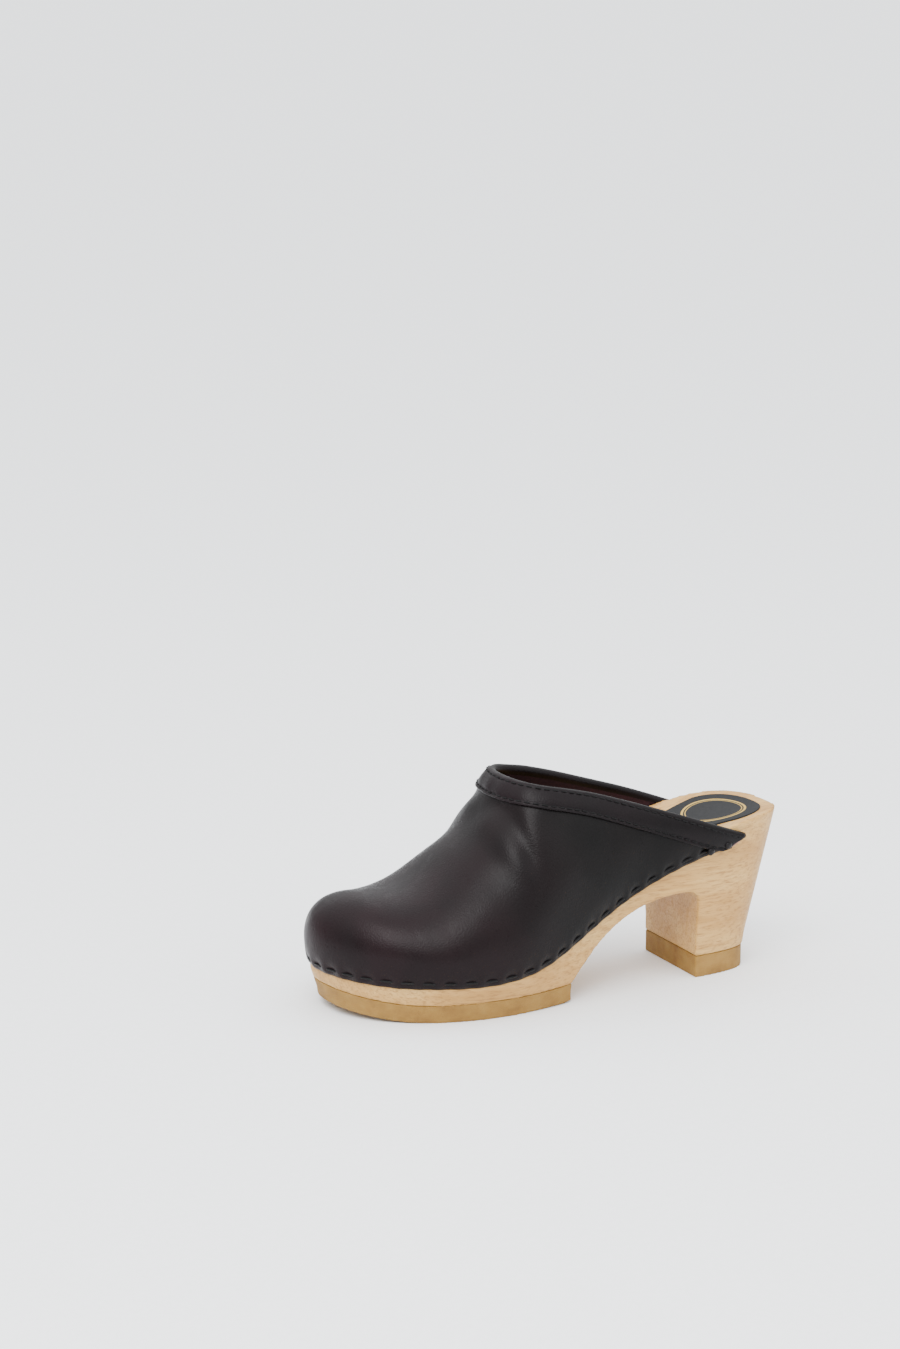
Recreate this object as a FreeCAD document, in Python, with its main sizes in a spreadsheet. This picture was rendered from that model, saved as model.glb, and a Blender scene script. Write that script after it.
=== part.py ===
import FreeCAD, Part
import math
import os

# A left wooden clog with a high block heel, in millimetres.
# X runs from the toe (-) to the heel (+), Y from the outer side (-) to the inner side (+), Z is up.
# The origin is on the ground, under the middle of the shoe.
# Stations along the shoe are measured from the toe tip of the wood and turned into X by at().

doc = FreeCAD.newDocument("wooden_clog")
sheet = doc.addObject("Spreadsheet::Sheet", "Sizes")

SIZES = [
    # overall
    ("sole_length", 245),
    ("seat_height", 80),
    ("leather_overhang", 3.5),
    # plan of the wood: stations from the toe or from the back, and half widths
    ("tip_inward", 11),
    ("round_station", 7), ("round_outer", 13.5), ("round_inner", 27),
    ("corner_station", 28), ("corner_outer", 35.5), ("corner_inner", 39.5),
    ("ball_station", 84), ("ball_outer", 46.5), ("ball_inner", 43),
    ("waist_before_back", 93), ("waist_outer", 32.5), ("waist_inner", 32),
    ("seat_before_back", 30), ("seat_outer", 30.5), ("seat_inner", 29.5),
    ("turn_before_back", 8.5), ("turn_outer", 21), ("turn_inner", 20),
    ("platform_taper", 3.5),
    # rubber outsole under the forefoot
    ("outsole_thickness", 9), ("outsole_taper", 1.2), ("platform_length", 116), ("toe_spring", 5.5),
    ("tack_head_radius", 2.2), ("tack_head_height", 0.8), ("tack_shank_radius", 0.88), ("tack_sink", 1.2),
    ("tack_length", 9), ("tack_inset", 9),
    # wood: heights of the upper rim, the arch and the heel
    ("platform_wood", 19), ("rabbet_height", 9.5), ("footbed_dish", 2.2),
    ("arch_height", 45.5), ("arch_corner_radius", 6),
    ("heel_length", 36), ("heel_back_slope", 18.5), ("heel_half_width", 23.5), ("heel_turn", 5.5),
    ("lift_thickness", 11),
    ("lift_nail_head_radius", 3), ("lift_nail_head_height", 1), ("lift_nail_sink", 1.5),
    ("lift_nail_shank_radius", 1.1),
    ("lift_nail_length", 22), ("lift_nail_inset", 9),
    # leather upper
    ("leather_thickness", 2.2), ("bulge_height", 13), ("bulge_reach", 40),
    ("toe_box_height", 57), ("toe_box_station", 24), ("throat_station", 94), ("throat_height", 110),
    ("collar_before_back", 31), ("collar_end_rise", 4), ("collar_end_slant", 9),
    # folded collar trim
    ("trim_width", 12.5), ("trim_thickness", 1.3), ("trim_clearance", 0.4),
    ("thread_radius", 0.4), ("stitch_pitch", 4.2), ("stitch_length", 3), ("stitch_inset", 1.6),
    # toe stiffener
    ("stiffener_thickness", 1.2), ("stiffener_length", 38), ("stiffener_gap", 0.4), ("stiffener_rise", 1.5),
    # fasteners along the lower edge
    ("staple_crown", 6.5), ("staple_wire", 1), ("staple_leg", 8), ("staple_pitch", 10.3), ("staple_rise", 3.4),
    ("trim_nail_head_radius", 2), ("trim_nail_head_height", 0.9), ("trim_nail_shank_radius", 0.8),
    ("trim_nail_length", 11), ("trim_nail_sink", 0.5), ("trim_nail_first", 9), ("trim_nail_second", 18),
    # label on the heel seat
    ("label_thickness", 0.8), ("label_length", 62), ("label_margin", 7.5), ("label_neck", 13),
    ("label_shift", 0.5),
]
for row, (name, value) in enumerate(SIZES, start=1):
    sheet.set("A%d" % row, name)
    sheet.set("B%d" % row, str(value))
    sheet.setAlias("B%d" % row, name)
doc.recompute()


def size(name):
    """The value of a named cell of the sheet."""
    return float(getattr(sheet, name))


Vec = FreeCAD.Vector
LENGTH = size("sole_length")
HIGH = 400.0          # longer than anything it has to cut through
MID_SIDE = (size("ball_inner") - size("ball_outer")) / 2     # the box's middle in Y


def at(station):
    """X of a station measured from the toe tip, with the shoe's box centred on the origin."""
    return station - (LENGTH - size("leather_overhang")) / 2


def side(y):
    """Y of a distance from the shoe's own long axis."""
    return y - MID_SIDE


def back(distance):
    """The station that lies a distance before the back of the seat."""
    return LENGTH - distance


def smooth(points, closed=False):
    """A B-spline curve through the points."""
    curve = Part.BSplineCurve()
    curve.interpolate(Points=points, PeriodicFlag=closed)
    return curve


# ---------------------------------------------------------------- plan of the sole

WAIST_SPREAD = 4.0    # how much wider than the heel's foot the sole's waist is, low down
HEEL_CORNER = 0.74    # half width at the turn of the heel's foot, as a share of its full half width


def plan_points(inset, heel_share):
    """The plan's points. inset narrows the forefoot; heel_share runs from the seat (0) to the heel's foot."""
    def mix(top, foot):
        return top + (foot - top) * heel_share
    heel_back = LENGTH - mix(0, size("heel_back_slope"))
    half = size("heel_half_width")
    pairs = [
        (size("round_station") + inset * 0.8, size("round_outer"), size("round_inner")),
        (size("corner_station") + inset * 0.4, size("corner_outer") - inset, size("corner_inner") - inset),
        (size("ball_station"), size("ball_outer") - inset, size("ball_inner") - inset),
        (back(size("waist_before_back")), mix(size("waist_outer"), half + WAIST_SPREAD),
         mix(size("waist_inner"), half + WAIST_SPREAD)),
        (heel_back - mix(size("seat_before_back"), size("heel_length") / 2), mix(size("seat_outer"), half),
         mix(size("seat_inner"), half)),
        (heel_back - mix(size("turn_before_back"), size("heel_turn")), mix(size("turn_outer"), half * HEEL_CORNER),
         mix(size("turn_inner"), half * HEEL_CORNER)),
    ]
    outer = [(station, -lateral) for station, lateral, medial in pairs]
    inner = [(station, medial) for station, lateral, medial in reversed(pairs)]
    return [(inset, size("tip_inward"))] + outer + [(heel_back, 0)] + inner


def plan_curve(height, inset=0.0, heel_share=0.0):
    """The closed plan curve at a height."""
    return smooth([Vec(at(x), side(y), height) for x, y in plan_points(inset, heel_share)], True)


def plan_wire(height, inset=0.0, heel_share=0.0):
    return Part.Wire(plan_curve(height, inset, heel_share).toShape())


# ---------------------------------------------------------------- side profiles

GROUND_TO_RIM = size("outsole_thickness") + size("platform_wood")
FLAT_START = 0.5      # share of the way to the ball where the tread becomes flat


def rise(share):
    """Heights between the forefoot (0) and the seat (1) along the sole's long curve."""
    return GROUND_TO_RIM + (size("seat_height") - GROUND_TO_RIM) * share


def rim_points(drop):
    """Stations and heights of the wood's upper rim, lowered by drop."""
    ball, seat = size("ball_station"), back(size("seat_before_back"))
    run = seat - ball
    return [
        (-20, rise(0.07) - drop),
        (ball * 0.55, rise(0) - drop),
        (ball + run * 0.12, rise(0.10) - drop),
        (ball + run * 0.33, rise(0.36) - drop),
        (ball + run * 0.60, rise(0.69) - drop),
        (ball + run * 0.84, rise(0.90) - drop),
        (seat, rise(0.98) - drop),
        (LENGTH + 20, rise(1.05) - drop),
    ]


def rim_curve(drop=0.0):
    return smooth([Vec(at(x), -HIGH / 2, z) for x, z in rim_points(drop)])


def height_on(curve, station):
    """Height of a side curve at a station."""
    x, low, high = at(station), curve.FirstParameter, curve.LastParameter
    for _ in range(60):
        middle = (low + high) / 2
        if curve.value(middle).x < x:
            low = middle
        else:
            high = middle
    return curve.value(low).z


RIM = rim_curve()
EDGE = rim_curve(size("rabbet_height"))


def slab(edges):
    """A solid prism across the whole shoe with the closed side profile made of edges."""
    wire = Part.Wire(Part.__sortEdges__(edges))
    return Part.Face(wire).extrude(Vec(0, HIGH, 0))


def line(*corners):
    """Straight edges between stations and heights, on the profile plane."""
    points = [Vec(at(x), -HIGH / 2, z) for x, z in corners]
    return [Part.LineSegment(a, b).toShape() for a, b in zip(points, points[1:])]


def ends(curve):
    """First and last (station, height) of a side curve."""
    first, last = curve.value(curve.FirstParameter), curve.value(curve.LastParameter)
    return (first.x - at(0), first.z), (last.x - at(0), last.z)


def above(curve, top=HIGH):
    """Everything above a side curve."""
    (x0, z0), (x1, z1) = ends(curve)
    return slab([curve.toShape()] + line((x1, z1), (x1, top), (x0, top), (x0, z0)))


def tread_parts(lift_by):
    """Underside of the forefoot, lifted: sprung toe, a flat stretch under the ball and a short rise behind."""
    spring, ball, end = size("toe_spring"), size("ball_station"), size("platform_length")

    def run(pairs, **tangent):
        curve = Part.BSplineCurve()
        curve.interpolate(Points=[Vec(at(x), -HIGH / 2, z + lift_by) for x, z in pairs], **tangent)
        return curve

    toe = run([(-12, spring * 1.6), (0, spring), (ball * 0.18, spring * 0.45), (ball * FLAT_START, 0)],
              InitialTangent=Vec(12, 0, -spring * 0.6), FinalTangent=Vec(12, 0, 0))
    tail = run([(ball, 0), (end, spring * 0.15)], InitialTangent=Vec(12, 0, 0), FinalTangent=Vec(12, 0, 1))
    return toe, line((ball * FLAT_START, lift_by), (ball, lift_by))[0], tail


def tread_height(station):
    """Height of the forefoot's underside at a station."""
    toe, _, tail = tread_parts(0)
    if station < size("ball_station") * FLAT_START:
        return height_on(toe, station)
    return 0.0 if station < size("ball_station") else height_on(tail, station)


def above_tread(lift_by):
    """Everything above the forefoot's underside, lifted."""
    toe, flat, tail = tread_parts(lift_by)
    (x0, z0), _ = ends(toe)
    _, (x1, z1) = ends(tail)
    return slab([toe.toShape(), flat, tail.toShape()] + line((x1, z1), (x1, HIGH), (x0, HIGH), (x0, z0)))


# ---------------------------------------------------------------- the last the leather is shaped on

LAST_COLUMNS = 20     # points round each cross-section of the last
LAST_STEP = 14.0      # widest spacing of its cross-sections behind the throat
CREST_RUN = 171.0     # how far behind the throat the last's top line is drawn
CREST_BEYOND = 12.0   # the last goes on rising behind the throat, where the opening cuts it off
CREST = smooth([Vec(at(x), 0, z) for x, z in [
    (0, size("toe_box_height") - 12), (size("toe_box_station") * 0.3, size("toe_box_height") - 5),
    (size("toe_box_station"), size("toe_box_height")),
    (size("throat_station") * 0.5, size("toe_box_height") + 5),
    (size("throat_station") * 0.7, size("toe_box_height") + 18),
    (size("throat_station") * 0.86, size("throat_height") - 21),
    (size("throat_station"), size("throat_height")),
    (size("throat_station") + 30, size("throat_height") + CREST_BEYOND),
    (size("throat_station") + CREST_RUN, size("throat_height") + CREST_BEYOND)]])
OUTLINE = [(p.x - at(0), p.y) for p in plan_curve(0).toShape().discretize(401)][:-1]


def grown_outline(grow):
    """The plan's points moved outwards along its own normal; the plan runs anticlockwise from the toe."""
    moved = []
    for index, (x, y) in enumerate(OUTLINE):
        (xa, ya), (xb, yb) = OUTLINE[index - 1], OUTLINE[(index + 1) % len(OUTLINE)]
        length = math.hypot(xb - xa, yb - ya)
        moved.append((x + (yb - ya) / length * grow, y - (xb - xa) / length * grow))
    return moved


def half_widths(station, grow):
    """Y of the plan's outer and inner side at a station, with the plan grown outwards."""
    outline = grown_outline(grow)
    found = []
    for (xa, ya), (xb, yb) in zip(outline, outline[1:] + outline[:1]):
        if min(xa, xb) <= station <= max(xa, xb) and xa != xb:
            found.append(ya + (yb - ya) * (station - xa) / (xb - xa))
    return min(found), max(found)


def last_section(station, grow):
    """Points round one cross-section of the last: two half ellipses joined at the widest line."""
    here = max(station, 0.5)
    low = height_on(EDGE, here) + size("bulge_height")
    reach = size("bulge_reach") + grow
    outer, inner = half_widths(station, grow + size("leather_overhang"))
    middle, half = (outer + inner) / 2, (inner - outer) / 2
    if station < size("toe_box_station"):
        # the toe rounds off to a point at the nose
        nose = -(size("leather_overhang") + grow)
        share = (station - nose) / (size("toe_box_station") - nose)
        full = size("toe_box_height") + grow
        top = low + (full - low) * (1 - (1 - share) ** 2.6) ** (1 / 2.2)
        reach = min(reach, half)
    else:
        slope = height_on(CREST, here + 1) - height_on(CREST, here)
        top = height_on(CREST, here) + grow * math.sqrt(1 + slope * slope)
    points = []
    for step in range(LAST_COLUMNS + 1):
        angle = 2 * math.pi * (step / LAST_COLUMNS - 0.25)
        rise_by = (top - low) if math.sin(angle) > 0 else reach
        points.append(Vec(at(station), middle + half * math.cos(angle), low + rise_by * math.sin(angle)))
    points[-1] = points[0]
    return points


def last(grow):
    """The solid last, grown outwards (or shrunk) all round; its seam runs along the bottom."""
    nose = -(size("leather_overhang") + grow)
    throat, end = size("throat_station"), LENGTH - 14
    box = size("toe_box_station") - nose
    stations = [nose + box * share * share for share in (0.03, 0.15, 0.3, 0.45, 0.6, 0.8, 1)]
    stations += [throat * share for share in (0.4, 0.56, 0.72, 0.86, 1)]
    steps = math.ceil((end - throat) / LAST_STEP)
    stations += [throat + (end - throat) * step / steps for step in range(1, steps + 1)]
    surface = Part.BSplineSurface()
    surface.interpolate([last_section(station, grow) for station in stations])
    skin = surface.toShape()
    caps = [Part.Face(Part.Wire([surface.uIso(knot).toShape()])) for knot in surface.bounds()[0:2]]
    shell = Part.Shell([skin] + caps)
    shell.sewShape()
    solid = Part.Solid(shell)
    solid.fix(0.01, 0.01, 0.01)
    if solid.Volume < 0:
        solid.reverse()
    return solid


# ---------------------------------------------------------------- pieces

PIECES = []


def sculpted(name, shape):
    """A document object for a sculpted shape, worked out from the sheet's values."""
    obj = doc.addObject("Part::Feature", name)
    obj.Shape = shape
    obj.Placement = FreeCAD.Placement()
    return obj


def piece(obj, label):
    """Give a finished sub-part its name and list it for writing."""
    obj.Label = label
    PIECES.append(obj)
    return obj


def bound(kind, name, formulas):
    """A primitive of the document whose properties are expressions of the sheet's cells."""
    obj = doc.addObject(kind, name)
    for prop, formula in formulas.items():
        obj.setExpression(prop, formula)
    return obj


def fused(name, parts):
    """The union of some objects of the document."""
    obj = doc.addObject("Part::MultiFuse", name)
    obj.Shapes = parts
    return obj


def less(name, base, tool):
    """One object of the document cut by another."""
    obj = doc.addObject("Part::Cut", name)
    obj.Base = base
    obj.Tool = tool
    return obj


def one_solid(shape):
    """The largest solid of a boolean's result."""
    return max(shape.Solids, key=lambda solid: solid.Volume)


def footbed_face():
    """The dished top of the wood: lowest along the middle, up to the rim at both sides."""
    rows = []
    for step in range(16):
        station = -20 + (LENGTH + 40) * step / 15
        inside = min(max(station, 6), LENGTH - 8)
        outer, inner = half_widths(inside, 0)
        middle, half = (outer + inner) / 2, (inner - outer) / 2
        height = height_on(RIM, station)
        row = []
        for across in range(-4, 5):
            y = middle + 18 * across
            share = (y - middle) / half
            row.append(Vec(at(station), y, height + size("footbed_dish") * (min(share * share, 2) - 1)))
        rows.append(row)
    surface = Part.BSplineSurface()
    surface.interpolate(rows)
    return surface.toShape()


def sole_wires():
    """Plans at the tread, at the rabbet's step and above the rim, the heel narrowing to its foot."""
    tread, taper = size("outsole_thickness"), size("platform_taper")
    step = tread + size("platform_wood") - size("rabbet_height")
    top = size("seat_height") + 15
    foot = size("lift_thickness")
    share = 1 - (step - foot) / (size("seat_height") - foot)
    over = 1 - (top - foot) / (size("seat_height") - foot)
    return [plan_wire(tread - 1, taper, 1), plan_wire(step, 0, share), plan_wire(top, 0, over)]


def sole_block():
    """The whole plan from the tread to above the rim."""
    return Part.makeLoft(sole_wires(), True, True)


def wood_profile():
    """Side view of the wood: tread, arch with a rounded corner, heel breast and heel foot."""
    tread, foot = size("outsole_thickness"), size("lift_thickness")
    end, breast = size("platform_length"), LENGTH - size("heel_back_slope") - size("heel_length")
    high, corner = size("arch_height"), size("arch_corner_radius")
    toe, flat, tail = tread_parts(tread)
    (x0, z0), _ = ends(toe)
    _, (x1, z1) = ends(tail)
    run = breast - corner - x1
    rise_by = high - z1
    arch = smooth([Vec(at(x1 + run * along), -HIGH / 2, z1 + rise_by * up)
                   for along, up in ((0, 0), (0.17, 0.36), (0.5, 0.79), (0.8, 0.97), (1, 1))])
    lean = corner * (1 - math.sqrt(0.5))
    turn = Part.Arc(Vec(at(breast - corner), -HIGH / 2, high), Vec(at(breast - lean), -HIGH / 2, high - lean),
                    Vec(at(breast), -HIGH / 2, high - corner))
    rest = line((breast, high - corner), (breast, foot), (LENGTH + 30, foot), (LENGTH + 30, HIGH), (x0, HIGH),
                (x0, z0))
    return slab([toe.toShape(), flat, tail.toShape(), arch.toShape(), turn.toShape()] + rest)


def collar_curve(drop):
    """The opening's line in side view, lowered by drop."""
    throat, end = size("throat_station"), back(size("collar_before_back"))
    high = size("throat_height")
    low = height_on(EDGE, end) + size("collar_end_rise")
    run, fall = end - throat, high - low
    points = [(throat - 40, high + fall * 0.22), (throat, high), (throat + run * 0.25, high - fall * 0.16),
              (throat + run * 0.5, high - fall * 0.41), (throat + run * 0.75, high - fall * 0.69),
              (end, low), (end + 20, low - fall * 0.2)]
    return smooth([Vec(at(x), -HIGH / 2, z - drop) for x, z in points])


def below(curve, bottom=-50.0):
    """Everything below a side curve."""
    (x0, z0), (x1, z1) = ends(curve)
    front = -LENGTH / 4
    return slab([curve.toShape()] + line((x1, z1), (x1, bottom), (front, bottom), (front, z0), (x0, z0)))


def ahead_of(station):
    """Everything on the toe side of a station."""
    return Part.makeBox(HIGH, HIGH, 2 * HIGH, Vec(at(station) - HIGH, -HIGH / 2, -HIGH))


def ahead_of_end():
    """Everything on the toe side of the leather's end, which leans back from the wood up to the collar."""
    end, slant = back(size("collar_before_back")), size("collar_end_slant")
    low, high = height_on(EDGE, end - slant), height_on(EDGE, end) + size("collar_end_rise")
    lean = slant / (high - low)
    bottom, top = low - HIGH / 4, high + HIGH / 4
    front = -LENGTH
    return slab(line((end - slant + (bottom - low) * lean, bottom), (end + (top - high) * lean, top),
                     (front, top), (front, bottom), (end - slant + (bottom - low) * lean, bottom)))


def path_on(solid, curve, last_station):
    """Where a side curve's sheet cuts a solid's skin, as a wire that runs from side to side over the toe."""
    sheet_face = curve.toShape().extrude(Vec(0, HIGH, 0))
    cut = solid.section(sheet_face)
    edges = Part.__sortEdges__(cut.Edges)
    wire = Part.Wire(edges)
    return [p for p in wire.discretize(Distance=0.5) if p.x < at(last_station)]


def spaced(points, pitch):
    """Places along a run of points a pitch apart: (point, direction)."""
    # the run is closed behind the collar, so it starts after its widest jump
    jumps = [(points[i] - points[i - 1]).Length for i in range(len(points))]
    start = jumps.index(max(jumps))
    run = points[start:] + points[:start]
    total = sum((b - a).Length for a, b in zip(run, run[1:]))
    count = int(total // pitch)
    wanted = [(total - count * pitch) / 2 + pitch * k for k in range(count + 1)]
    places, gone, k = [], 0.0, 0
    for a, b in zip(run, run[1:]):
        step = (b - a).Length
        while k < len(wanted) and gone + step >= wanted[k]:
            places.append((a + (b - a) * ((wanted[k] - gone) / step), (b - a).normalize()))
            k += 1
        gone += step
    return places


def outward(solid, point, along):
    """The outward direction of a last's skin at a point, square to a direction along it."""
    skin = max(solid.Faces, key=lambda face: face.Area)
    normal = skin.normalAt(*skin.Surface.parameter(point))
    normal = normal - along * normal.dot(along)
    normal.normalize()
    from_axis = point - Vec(max(point.x, at(size("toe_box_station"))), side(0), size("toe_box_height") / 2)
    return normal * -1 if normal.dot(from_axis) < 0 else normal


def placed(shape, point, along, out):
    """A shape made with X along the path and Z outwards, moved to its place."""
    across = out.cross(along)
    matrix = FreeCAD.Matrix(along.x, across.x, out.x, point.x, along.y, across.y, out.y, point.y,
                            along.z, across.z, out.z, point.z, 0, 0, 0, 1)
    return shape.transformed(matrix)


# ---------------------------------------------------------------- fasteners, made once and copied

STAPLE_DEPTH = 0.55   # share of the wire's thickness that lies inside the leather


def staple():
    """A wire staple: its crown lies in the leather's surface and its two legs go in."""
    sunk = "-Sizes.staple_wire * %s" % STAPLE_DEPTH
    crown = bound("Part::Box", "staple_crown", {
        "Length": "Sizes.staple_crown", "Width": "Sizes.staple_wire", "Height": "Sizes.staple_wire",
        ".Placement.Base.x": "-Sizes.staple_crown / 2", ".Placement.Base.y": "-Sizes.staple_wire / 2",
        ".Placement.Base.z": sunk})
    legs = [bound("Part::Box", name, {
        "Length": "Sizes.staple_wire", "Width": "Sizes.staple_wire", "Height": "Sizes.staple_leg",
        ".Placement.Base.x": place, ".Placement.Base.y": "-Sizes.staple_wire / 2",
        ".Placement.Base.z": sunk + " - Sizes.staple_leg"})
        for name, place in (("staple_left_leg", "-Sizes.staple_crown / 2"),
                            ("staple_right_leg", "Sizes.staple_crown / 2 - Sizes.staple_wire"))]
    return fused("staple", [crown] + legs)


def nail(name, head_radius, head_height, shank_radius, length):
    """A nail along Z from named cells: its head is at the top, and the head's underside at zero."""
    tip = "2 * %s" % shank_radius
    head = bound("Part::Cylinder", name + "_head", {"Radius": head_radius, "Height": head_height})
    shank = bound("Part::Cylinder", name + "_shank", {
        "Radius": shank_radius, "Height": "%s - %s" % (length, tip),
        ".Placement.Base.z": "%s - %s" % (tip, length)})
    point = bound("Part::Cone", name + "_point", {
        "Radius1": shank_radius + " / 20", "Radius2": shank_radius, "Height": tip,
        ".Placement.Base.z": "-" + length})
    return fused(name, [head, shank, point])


def stitch():
    """A short thread lying along X on the surface."""
    obj = bound("Part::Cylinder", "stitch", {
        "Radius": "Sizes.thread_radius", "Height": "Sizes.stitch_length",
        ".Placement.Base.x": "-Sizes.stitch_length / 2", ".Placement.Base.z": "Sizes.thread_radius"})
    obj.setExpression(".Placement.Rotation.Angle", "90")
    obj.Placement.Rotation = FreeCAD.Rotation(Vec(0, 1, 0), 90)
    return obj


def fasteners_on(places, skin, shape):
    """The same shape set at each place, standing square to the skin."""
    return [placed(shape, point, along, outward(skin, point, along)) for point, along in places]


def stitches(skin, curve, last_station, shape):
    """A row of short thread stitches lying on the trim."""
    return fasteners_on(spaced(path_on(skin, curve, last_station), size("stitch_pitch")), skin, shape)


def driven_up(shape, station, y, height):
    """A nail turned over and driven upwards at a place."""
    turned = shape.copy()
    turned.rotate(Vec(0, 0, 0), Vec(1, 0, 0), 180)
    turned.translate(Vec(at(station), side(y), height))
    return turned


def wells(nails, radius):
    """The holes below sunk nail heads, open at the tread."""
    below_tread = 5
    return [Part.makeCylinder(radius, one.BoundBox.ZMin + below_tread,
                              Vec(one.BoundBox.Center.x, one.BoundBox.Center.y, -below_tread)) for one in nails]


# ---------------------------------------------------------------- rubber and label

def heel_lift(nails):
    """The rubber top piece under the heel: the heel's foot carried straight down to the ground."""
    plan = sculpted("heel_foot_plan", Part.Face(plan_wire(0, size("platform_taper"), 1)))
    block = doc.addObject("Part::Extrusion", "heel_foot")
    block.Base = plan
    block.DirMode = "Custom"
    block.Dir = Vec(0, 0, 1)
    block.Solid = True
    block.setExpression("LengthFwd", "Sizes.lift_thickness")
    front = bound("Part::Box", "before_breast", {
        "Length": "Sizes.sole_length", "Width": "Sizes.sole_length", "Height": "Sizes.seat_height",
        ".Placement.Base.x": "(Sizes.leather_overhang - Sizes.sole_length) / 2 - Sizes.heel_back_slope"
                             " - Sizes.heel_length",
        ".Placement.Base.y": "-Sizes.sole_length / 2"})
    holes = sculpted("heel_lift_holes", Part.makeCompound(nails + wells(nails, size("lift_nail_head_radius"))))
    return less("drilled_heel_lift", less("heel_lift_block", block, front), holes)


def outsole(tacks):
    """The rubber sheet under the forefoot: it goes on from the wood's sides and follows the tread's spring."""
    thick, taper = size("outsole_thickness"), size("platform_taper")
    foot = plan_wire(-1, taper + size("outsole_taper"), 1)
    under_wood = Part.makeLoft([foot, sole_wires()[0]], True, True)
    sides = sculpted("forefoot_sides", under_wood.fuse(sole_block()))
    sheet_side = sculpted("tread_sheet", above_tread(0).cut(above_tread(thick)).common(
        ahead_of(size("platform_length"))))
    rubber = doc.addObject("Part::Common", "outsole_sheet")
    rubber.Base = sides
    rubber.Tool = sheet_side
    holes = sculpted("outsole_holes", Part.makeCompound(tacks + wells(tacks, size("tack_head_radius"))))
    return less("drilled_outsole", rubber, holes)


def seat_label(footbed):
    """The thin label glued on the heel seat: round at the back, easing in to a narrow round front."""
    margin, neck, aside = size("label_margin"), size("label_neck"), -size("label_shift")
    wide = size("seat_outer") - margin
    rear = LENGTH - margin
    centre, front = rear - wide, rear - size("label_length")
    half = (centre + front) / 2
    inner = [(centre, wide), (half, (wide + neck) / 2), (front + neck * 0.35, neck * 0.86)]
    outline = [(rear, 0), (centre + wide * math.sqrt(0.5), wide * math.sqrt(0.5))] + inner + [(front, 0)]
    outline += [(x, -y) for x, y in reversed(outline[1:-1])]
    wire = Part.Wire(smooth([Vec(at(x), side(y + aside), 0) for x, y in outline], True).toShape())
    prism = Part.Face(wire).extrude(Vec(0, 0, HIGH))
    return one_solid(footbed.extrude(Vec(0, 0, size("label_thickness"))).common(prism))


# ---------------------------------------------------------------- the places of the fasteners

def staple_places(skin):
    """Places along the leather's lower edge, up to the trim's ends."""
    last_station = back(size("collar_before_back")) - size("collar_end_slant") - size("trim_width") - 1
    line_up = rim_curve(size("rabbet_height") - size("staple_rise"))
    return spaced(path_on(skin, line_up, last_station), size("staple_pitch"))


def trim_nail_places(skin):
    """Two places at each end of the trim, in line with the staples: (point, direction)."""
    end = back(size("collar_before_back"))
    path = path_on(skin, rim_curve(size("rabbet_height") - size("staple_rise")), end)
    places = []
    for station in (end - size("trim_nail_first"), end - size("trim_nail_second")):
        for sign in (-1, 1):
            near = [p for p in path if (p.y - MID_SIDE) * sign > 0]
            spot = min(near, key=lambda p: abs(p.x - at(station)))
            ahead = min(near, key=lambda p: abs(p.x - at(station - 2)))
            places.append((spot, (spot - ahead).normalize()))
    return places


def lift_nails(shape):
    """Four nails driven up into the heel, a margin in from its corners."""
    inset, half = size("lift_nail_inset"), size("heel_half_width")
    breast = LENGTH - size("heel_back_slope") - size("heel_length")
    foot_back = LENGTH - size("heel_back_slope")
    height = size("lift_nail_sink") + size("lift_nail_head_height")
    narrow = 1.3      # the heel's foot is narrower at its round back
    rows = ((breast + inset, inset), (foot_back - inset, inset * narrow))
    return [driven_up(shape, station, sign * (half - margin), height) for station, margin in rows for sign in (-1, 1)]


def outsole_tacks(shape):
    """Tacks round the forefoot: one at the tip and pairs at four stations, a margin in from the sides."""
    inset, ball = size("tack_inset"), size("ball_station")
    plan = [(inset * 1.6, size("tip_inward"))]
    for station in (size("corner_station"), ball * 0.68, ball, size("platform_length") - inset):
        outer, inner = half_widths(station, -size("platform_taper") - inset)
        plan += [(station, outer - MID_SIDE), (station, inner - MID_SIDE)]
    deep = size("tack_sink") + size("tack_head_height")
    return [driven_up(shape, station, y, tread_height(station) + deep) for station, y in plan]


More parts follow.
